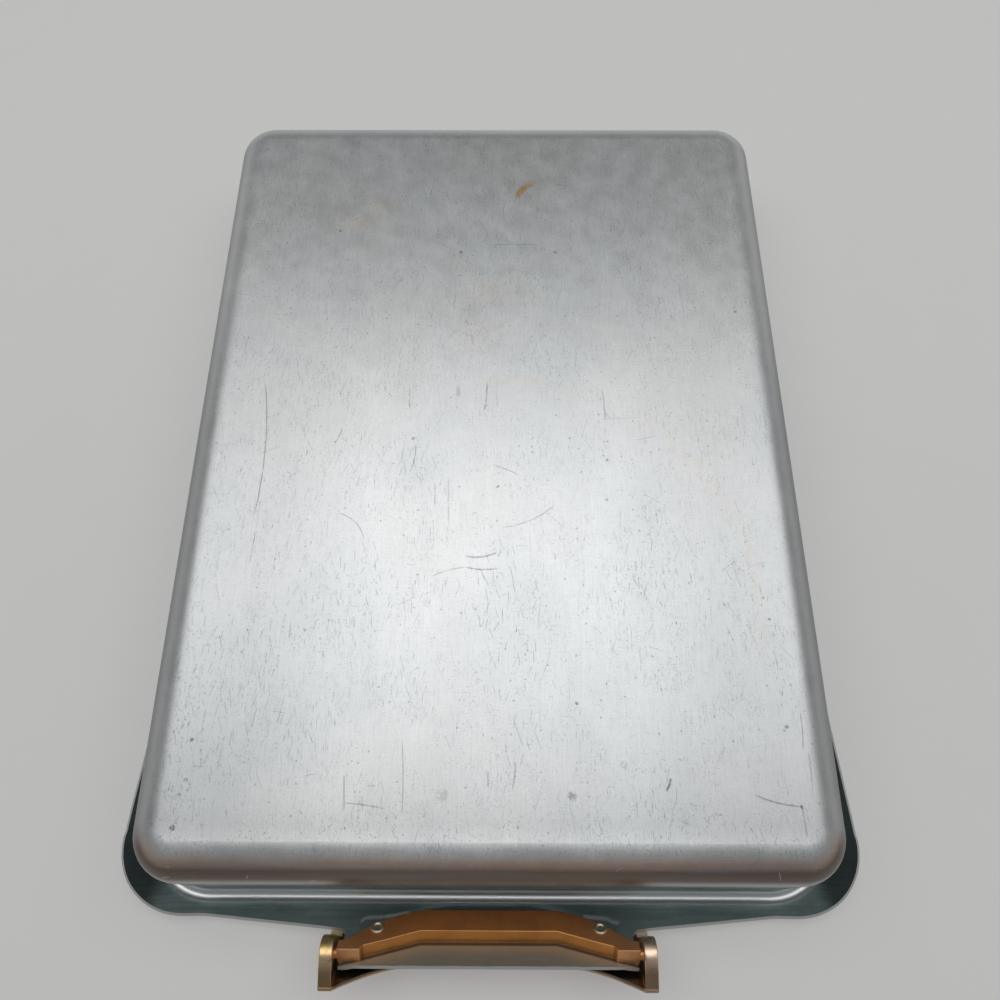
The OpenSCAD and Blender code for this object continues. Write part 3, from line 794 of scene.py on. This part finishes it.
def build_pan_skin(form):
    """Vertices, faces and finishes of the pan's outer skin: bottom, walls, fold, apron and tab."""
    front, right, back, left = form.sides()
    profile = form.profile()
    inset = profile[0][0]
    rim = [[Vector((*form.foot_point(s, inset), 0)) for s in side] for side in (front, right, back, left)]
    south, east, north, west = rim[0], rim[1], rim[2][::-1], rim[3][::-1]
    columns, rows = len(south), len(east)
    us = [(p.x - south[0].x) / (south[-1].x - south[0].x) for p in south]
    vs = [(p.y - east[0].y) / (east[-1].y - east[0].y) for p in east]
    vertices, faces, finishes = [], [], []
    for j, v in enumerate(vs):
        for i, u in enumerate(us):
            p = south[i] * (1 - v) + north[i] * v + west[j] * (1 - u) + east[j] * u
            near = south[0] * (1 - u) + south[-1] * u
            far = north[0] * (1 - u) + north[-1] * u
            p -= near * (1 - v) + far * v
            p.z = form.pan.height + form.sag(p.x, p.y - form.centre_y)
            vertices.append(p)

    def quad(a, b, c, d, finish):
        faces.append((a, b, c, d))
        finishes.append(finish)

    for j in range(rows - 1):
        for i in range(columns - 1):
            a = j * columns + i
            quad(a, a + 1, a + columns + 1, a + columns, 0)
    loop = list(range(columns))
    loop += [j * columns + columns - 1 for j in range(1, rows)]
    loop += [(rows - 1) * columns + i for i in range(columns - 2, -1, -1)]
    loop += [j * columns for j in range(rows - 2, 0, -1)]
    stations = front + right[1:] + back[1:] + left[1:-1]
    tab_edge = form.tab_half + form.apron.notch_radius
    apron_rows = 10

    def on_tab(station):
        return station[1] == FORWARDS and abs(station[0][0]) <= tab_edge + 1e-7

    lengths = []
    for n, station in enumerate(stations):
        run = form.apron_length(*station)
        wobble = noise.noise(Vector((n * 0.21, 3.3, 0))) + 0.5 * noise.noise(Vector((n * 0.9, 7.1, 0)))
        lengths.append(run if on_tab(station) else run - form.apron.ragged * (0.75 - 0.5 * wobble))
    slope = form.apron.slope
    steps = [(off, z, int(k >= len(profile) - FOLD_STEPS)) for k, (off, z) in enumerate(profile)][1:]
    ring = loop
    for k in range(len(steps) + apron_rows):
        base = len(vertices)
        for n, station in enumerate(stations):
            if k < len(steps):
                off, z, finish = steps[k]
                vertices.append(Vector((*form.foot_point(station, off), z)))
            else:
                finish = 1
                up = lengths[n] * (k - len(steps) + 1) / apron_rows
                off = form.foot[0] + up * math.cos(slope)
                point = Vector((*form.foot_point(station, off), form.foot[1] + up * math.sin(slope)))
                if station[1] == FORWARDS:
                    point += Vector((0, math.sin(slope), math.cos(slope))) * form.pad(station[0][0], up)
                vertices.append(point)
        following = [base + n for n in range(len(stations))]
        for n in range(len(stations)):
            m = (n + 1) % len(stations)
            quad(ring[n], following[n], following[m], ring[m], finish)
        ring = following
    # the tab stands on the middle of the front apron
    row = [ring[n] for n, station in enumerate(stations) if on_tab(station)]
    notch, high = form.apron.notch_radius, form.apron.high
    ups = [high + notch * (1 - math.cos(math.radians(90 * i / 6))) for i in range(1, 7)]
    ups += [ups[-1] + (form.apron.tab_length - ups[-1]) * i / 9 for i in range(1, 10)]
    for up in ups:
        drop = max(high + notch - up, 0.0)
        half = tab_edge - math.sqrt(max(notch**2 - drop**2, 0.0))
        base = len(vertices)
        for i in range(len(row)):
            across = half * (2 * i / (len(row) - 1) - 1)
            ragged = noise.noise(Vector((across * 260, 1.7, 0))) * form.apron.ragged * (up == ups[-1])
            vertices.append(form.on_apron(across, up + ragged, form.pad(across, up)))
        following = [base + i for i in range(len(row))]
        for i in range(len(row) - 1):
            quad(row[i], following[i], following[i + 1], row[i + 1], 1)
        row = following
    return vertices, faces, finishes


def slab(outline, thickness, place):
    """Vertices and faces of a plate: its outline, then the same moved by thickness, through place."""
    count = len(outline)
    vertices = [place(a, b, off) for off in (0.0, thickness) for a, b in outline]
    faces = [tuple(range(count))[::-1], tuple(range(count, 2 * count))]
    faces += [(i, (i + 1) % count, count + (i + 1) % count, count + i) for i in range(count)]
    return vertices, faces


def lathe(profile, steps, place):
    """Vertices and faces of a turned form: (radius, height) pairs about the third axis of place."""
    vertices, faces = [], []
    for radius, height in profile:
        for k in range(steps):
            t = 2 * math.pi * k / steps
            vertices.append(place(radius * math.cos(t), radius * math.sin(t), height))
    for j in range(len(profile) - 1):
        for k in range(steps):
            m = (k + 1) % steps
            faces.append((j * steps + k, j * steps + m, (j + 1) * steps + m, (j + 1) * steps + k))
    faces.append(tuple(range(steps))[::-1])
    faces.append(tuple(range((len(profile) - 1) * steps, len(profile) * steps)))
    return vertices, faces


def merged(*forms):
    """Several forms as one list of vertices and one of faces."""
    vertices, faces = [], []
    for some, theirs in forms:
        base = len(vertices)
        vertices += some
        faces += [tuple(base + i for i in face) for face in theirs]
    return vertices, faces


def outward(piece):
    """Turns a closed piece's faces outwards."""
    bm = bmesh.new()
    bm.from_mesh(piece.data)
    bmesh.ops.recalc_face_normals(bm, faces=bm.faces)
    bm.to_mesh(piece.data)
    bm.free()


def mirrored(points):
    """An outline and its mirror image, joined into one closed run."""
    return list(points) + [(-x, y) for x, y in points[::-1]]


# ---------------------------------------------------------------- operators


def form_of(context):
    scene = context.scene
    return PanForm(scene.tray_pan, scene.tray_apron, scene.tray_handle)


class BuildPan(bpy.types.Operator):
    """Builds the drawn pan with its rim, apron and tab"""

    bl_idname = "ice_tray.pan"
    bl_label = "Pan"

    def execute(self, context):
        form = form_of(context)
        colours = context.scene.tray_colours
        vertices, faces, finishes = build_pan_skin(form)
        materials = [worn_sheet(colours), teal_coat(colours), sheared_edge(colours), inner_sheet(colours)]
        pan = add_piece(
            "pan_shell", vertices, faces, materials, "tray", "drawn_aluminium", ["pan"], finishes
        )
        sheet = pan.modifiers.new("sheet", "SOLIDIFY")
        sheet.thickness = form.pan.sheet
        sheet.offset = -1
        sheet.use_even_offset = True
        sheet.use_quality_normals = True
        sheet.material_offset = 3
        sheet.material_offset_rim = 1
        rounded(pan, 0.18 * MM, 2, 60)
        return {"FINISHED"}


class BuildBracket(bpy.types.Operator):
    """Builds the copper-coloured bracket with its trunnion pins"""

    bl_idname = "ice_tray.bracket"
    bl_label = "Bracket"

    def execute(self, context):
        form = form_of(context)
        handle = context.scene.tray_handle
        half = form.bracket_half
        # the outline's right half: in from the block's end and up the apron's slope, in millimetres
        inwards = (
            (26, 7.7), (19, 9.2), (10.5, 12.9), (8.5, 14.4), (2.7, 18.9), (0, 19.2),
            (0, 22.7), (7, 22.7), (8, 21.2), (12.4, 19.9), (25, 15.8),
        )
        outline = mirrored([(half - a * MM, b * MM) for a, b in inwards])
        bar = slab(outline, handle.bracket, form.on_apron)
        pins = [trunnion(form, handle, side) for side in (-1, 1)]
        piece = add_piece(
            "cast_bracket", *merged(bar, *pins), [copper_coat(context.scene.tray_colours)],
            "tray", "copper_casting", ["bracket"],
        )
        outward(piece)
        rounded(piece, handle.rounding)
        return {"FINISHED"}


# the trunnions' line: up the apron's slope and off its upper face
AXIS = (21.1 * MM, 1.9 * MM)
# the rivets: in from the block's end and up the slope
RIVET = (11.4 * MM, 14.6 * MM)


def trunnion(form, handle, side):
    """One of the bracket's pins, from inside its block into the ear's bore."""
    start = form.bracket_half - 1 * MM
    run, chamfer = 4.6 * MM, 0.3 * MM

    def place(a, b, c):
        return form.on_apron(side * (start + c), AXIS[0] + a, AXIS[1] + b)

    r = handle.trunnion
    return lathe([(r, 0.0), (r, run - chamfer), (r - chamfer, run)], 28, place)


class BuildRivets(bpy.types.Operator):
    """Builds the two rivets with their rolled heads"""

    bl_idname = "ice_tray.rivets"
    bl_label = "Rivets"

    def execute(self, context):
        form = form_of(context)
        handle = context.scene.tray_handle
        r, top = handle.rivet, handle.bracket
        finish = tarnished_rivet(context.scene.tray_colours)
        # the rolled head: radius as a share of its outer radius, and height in millimetres
        head = [(0.2, 0.05), (0.42, 0.05), (0.50, 0.12), (0.58, 0.34), (0.68, 0.46), (0.80, 0.44),
                (0.92, 0.30), (1.0, 0.10), (1.0, 0.0)]
        for side, name in ((-1, "rivet_left"), (1, "rivet_right")):
            x = side * (form.bracket_half - RIVET[0])

            def place(a, b, c):
                return form.on_apron(x + a, RIVET[1] + b, c)

            turned = [(0.02 * r, top + 0.07 * MM)] + [(k * r, top + h * MM) for k, h in head]
            crown = lathe(turned, 40, place)
            sheet = form.pan.sheet
            tail = lathe([(r, -sheet - 0.8 * MM), (r, -sheet - 0.2 * MM), (r * 0.9, -sheet)], 40, place)
            piece = add_piece(name, *merged(crown, tail), [finish], "tray", "bright_rivet", ["rivets"])
            outward(piece)
        return {"FINISHED"}


class BuildHandle(bpy.types.Operator):
    """Builds the release handle: its arched face, folded lip and two ears"""

    bl_idname = "ice_tray.handle"
    bl_label = "Release handle"

    def execute(self, context):
        form = form_of(context)
        handle = context.scene.tray_handle
        finish = brass_patina(context.scene.tray_colours)
        half, ear, face = handle.width / 2, handle.ear, handle.face
        # off the apron's upper face: the two sides of the handle's face
        inner = -3 * MM
        outer = inner - face
        # up the apron's slope: the ears' top, the face's foot and the middle of its arch
        top, low, middle = 29.1 * MM, 2.9 * MM, 21.4 * MM
        arch, corner = half - 23.9 * MM, 6 * MM
        rise = [(arch + (half - ear - arch) * t, middle + (top - middle) * t**1.45)
                for t in (1, 0.85, 0.7, 0.55, 0.4, 0.28, 0.18, 0.1, 0.04, 0)]
        outline = arc((half - corner, low + corner), corner, 270, 360, 8)
        outline += [(half, top), (half - ear * 0.5, top)] + rise
        shell = slab(mirrored(outline), face, lambda a, b, c: form.on_apron(a, b, outer + c))
        # the folded lip at the foot stands out by its reach and runs a little into the face
        lip_half, reach, depth = half - 15.4 * MM, 2.4 * MM, 2.6 * MM
        lip = slab(
            [(-lip_half, low), (lip_half, low), (lip_half, low + face), (-lip_half, low + face)],
            depth, lambda a, b, c: form.on_apron(a, b, outer - reach + c),
        )
        ears = [self.ear(form, handle, side, inner, outer, top) for side in (-1, 1)]
        piece = add_piece(
            "release_handle", *merged(shell, lip, *ears), [finish],
            "release_handle", "brass_casting", ["handle"],
        )
        outward(piece)
        rounded(piece, handle.rounding, 3, 40)
        return {"FINISHED"}

    @staticmethod
    def ear(form, handle, side, inner, outer, top):
        """One ear: rounded over the trunnion, and cut under the apron's edge."""
        throat = (form.apron.high + 1.5 * MM, -form.pan.sheet - 0.5 * MM)
        foot = 6.9 * MM
        outline = arc(AXIS, handle.ear_radius, 20, 155, 20) + [
            throat, (foot, inner), (foot, outer), (top - 0.6 * MM, outer), (top, outer + 0.8 * MM),
        ]
        start = handle.width / 2 - handle.ear

        def place(a, b, c):
            return form.on_apron(side * (start + c), a, b)

        return slab(outline, handle.ear, place)


GRID_FINISHES = {
    # words in a node's name for each metal; the first metal that fits is the node's
    "plain_steel": ("pivot", "link_pin"),
    "lever_metal": ("draw_bar", "right_lever", "left_lever"),
    "brushed_grid": ("divider", "wall", "fin"),
}


class DressGrids(bpy.types.Operator):
    """Gives the divider, fins, walls, bars, levers and pins their metals"""

    bl_idname = "ice_tray.grids"
    bl_label = "Lever grids"

    def execute(self, context):
        colours = context.scene.tray_colours
        finishes = {
            "brushed_grid": brushed_grid(colours),
            "lever_metal": brushed_grid(colours, "lever_metal", 1.08),
            "plain_steel": plain_steel(colours),
        }
        dressed = 0
        for node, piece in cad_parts.items():
            if node in ("pan", "bracket", "rivets", "handle"):
                continue
            fitting = [kind for kind, words in GRID_FINISHES.items() if any(word in node for word in words)]
            if not fitting:
                raise RuntimeError(f"no finish is set for {node}")
            piece.data.materials.clear()
            piece.data.materials.append(finishes[fitting[0]])
            dressed += 1
        if not dressed:
            raise RuntimeError("the frame has no grid parts")
        return {"FINISHED"}


class SetStage(bpy.types.Operator):
    """Sets the pale floor, the soft lamp, the world and the camera"""

    bl_idname = "ice_tray.stage"
    bl_label = "Stage"

    def execute(self, context):
        scene = context.scene
        stage = scene.tray_stage
        self.floor(scene)
        lamp = bpy.data.lights.new("soft_key", "AREA")
        lamp.shape = "RECTANGLE"
        lamp.size = stage.key_width
        lamp.size_y = stage.key_depth
        lamp.energy = stage.key_power
        key = bpy.data.objects.new("soft_key", lamp)
        key.location = stage.key_place
        key.rotation_mode = "QUATERNION"
        key.rotation_quaternion = (key.location - Vector(stage.key_aim)).to_track_quat("Z", "Y")
        scene.collection.objects.link(key)
        self.world(scene)
        lens = bpy.data.cameras.new("camera")
        lens.sensor_width = 36
        lens.lens = stage.lens
        lens.clip_start, lens.clip_end = 0.01, 30
        camera = bpy.data.objects.new("camera", lens)
        swing, tilt, roll = stage.turn
        camera.matrix_world = (
            Matrix.Translation(stage.eye)
            @ Matrix.Rotation(swing, 4, "Z")
            @ Matrix.Rotation(tilt, 4, "X")
            @ Matrix.Rotation(roll, 4, "Z")
        )
        scene.collection.objects.link(camera)
        scene.camera = camera
        scene.view_settings.view_transform = "Standard"
        return {"FINISHED"}

    @staticmethod
    def floor(scene):
        """A wide plain floor that shows a little paler than its light alone would make it."""
        f = Finish("pale_floor", Roughness=0.9, Specular_IOR_Level=0.1)
        f.lay(colour=f.tint(f.clouds(20, 3.0), scene.tray_colours.floor, 0.03))
        seen = f.node("ShaderNodeLightPath", {}, {}, "Is Camera Ray")
        seen = seen.at_least(seen.other("Is Glossy Ray")).at_least(seen.other("Is Transmission Ray"))
        strength = seen * scene.tray_stage.floor_glow
        glow = f.node("ShaderNodeEmission", {}, {"Color": (1, 1, 1), "Strength": strength})
        both = f.node("ShaderNodeAddShader", {}, {0: Wire(f, f.shader.outputs[0]), 1: glow})
        f.join(f.tree.nodes["Material Output"].inputs["Surface"], both)
        mesh = bpy.data.meshes.new("floor")
        half = scene.tray_stage.floor_half
        corners = [(x * half, y * half, 0) for x, y in ((-1, -1), (1, -1), (1, 1), (-1, 1))]
        mesh.from_pydata(corners, [], [(0, 1, 2, 3)])
        mesh.materials.append(f.material)
        floor = bpy.data.objects.new("floor", mesh)
        scene.collection.objects.link(floor)

    @staticmethod
    def world(scene):
        """A studio: pale round the horizon, dimmer overhead."""
        world = bpy.data.worlds.new("studio")
        world.use_nodes = True
        scene.world = world
        f = Finish.over(world.node_tree)
        up = f.node("ShaderNodeSeparateXYZ", {}, {0: f.node("ShaderNodeTexCoord", {}, {}, "Generated")}, 2)
        low, high = scene.tray_stage.horizon, scene.tray_stage.ceiling
        strength = high + (low - high) * up.rise(0.45, 0.05)
        background = f.tree.nodes["Background"]
        background.inputs["Color"].default_value = (1, 1, 1, 1)
        f.join(background.inputs["Strength"], strength)


OPERATORS = (BuildPan, BuildBracket, BuildRivets, BuildHandle, DressGrids, SetStage)


class TrayPanel(bpy.types.Panel):
    """Sizes, colours and pieces of the ice cube tray"""

    bl_label = "Ice cube tray"
    bl_idname = "VIEW3D_PT_ice_tray"
    bl_space_type = "VIEW_3D"
    bl_region_type = "UI"
    bl_category = "Ice tray"

    def draw(self, context):
        for operator in OPERATORS:
            self.layout.operator(operator.bl_idname)
        for name, group in GROUPS.items():
            box = self.layout.box()
            box.label(text=group.__doc__)
            for prop in group.__annotations__:
                box.prop(getattr(context.scene, name), prop)


def register():
    for group in GROUPS.values():
        bpy.utils.register_class(group)
    for name, group in GROUPS.items():
        setattr(bpy.types.Scene, name, bpy.props.PointerProperty(type=group))
    for operator in OPERATORS:
        bpy.utils.register_class(operator)
    bpy.utils.register_class(TrayPanel)


def unregister():
    bpy.utils.unregister_class(TrayPanel)
    for operator in reversed(OPERATORS):
        bpy.utils.unregister_class(operator)
    for name, group in GROUPS.items():
        delattr(bpy.types.Scene, name)
        bpy.utils.unregister_class(group)


def main():
    """Builds every piece and the stage."""
    register()
    for operator in OPERATORS:
        group, name = operator.bl_idname.split(".")
        getattr(getattr(bpy.ops, group), name)()


if __name__ == "__main__":
    main()
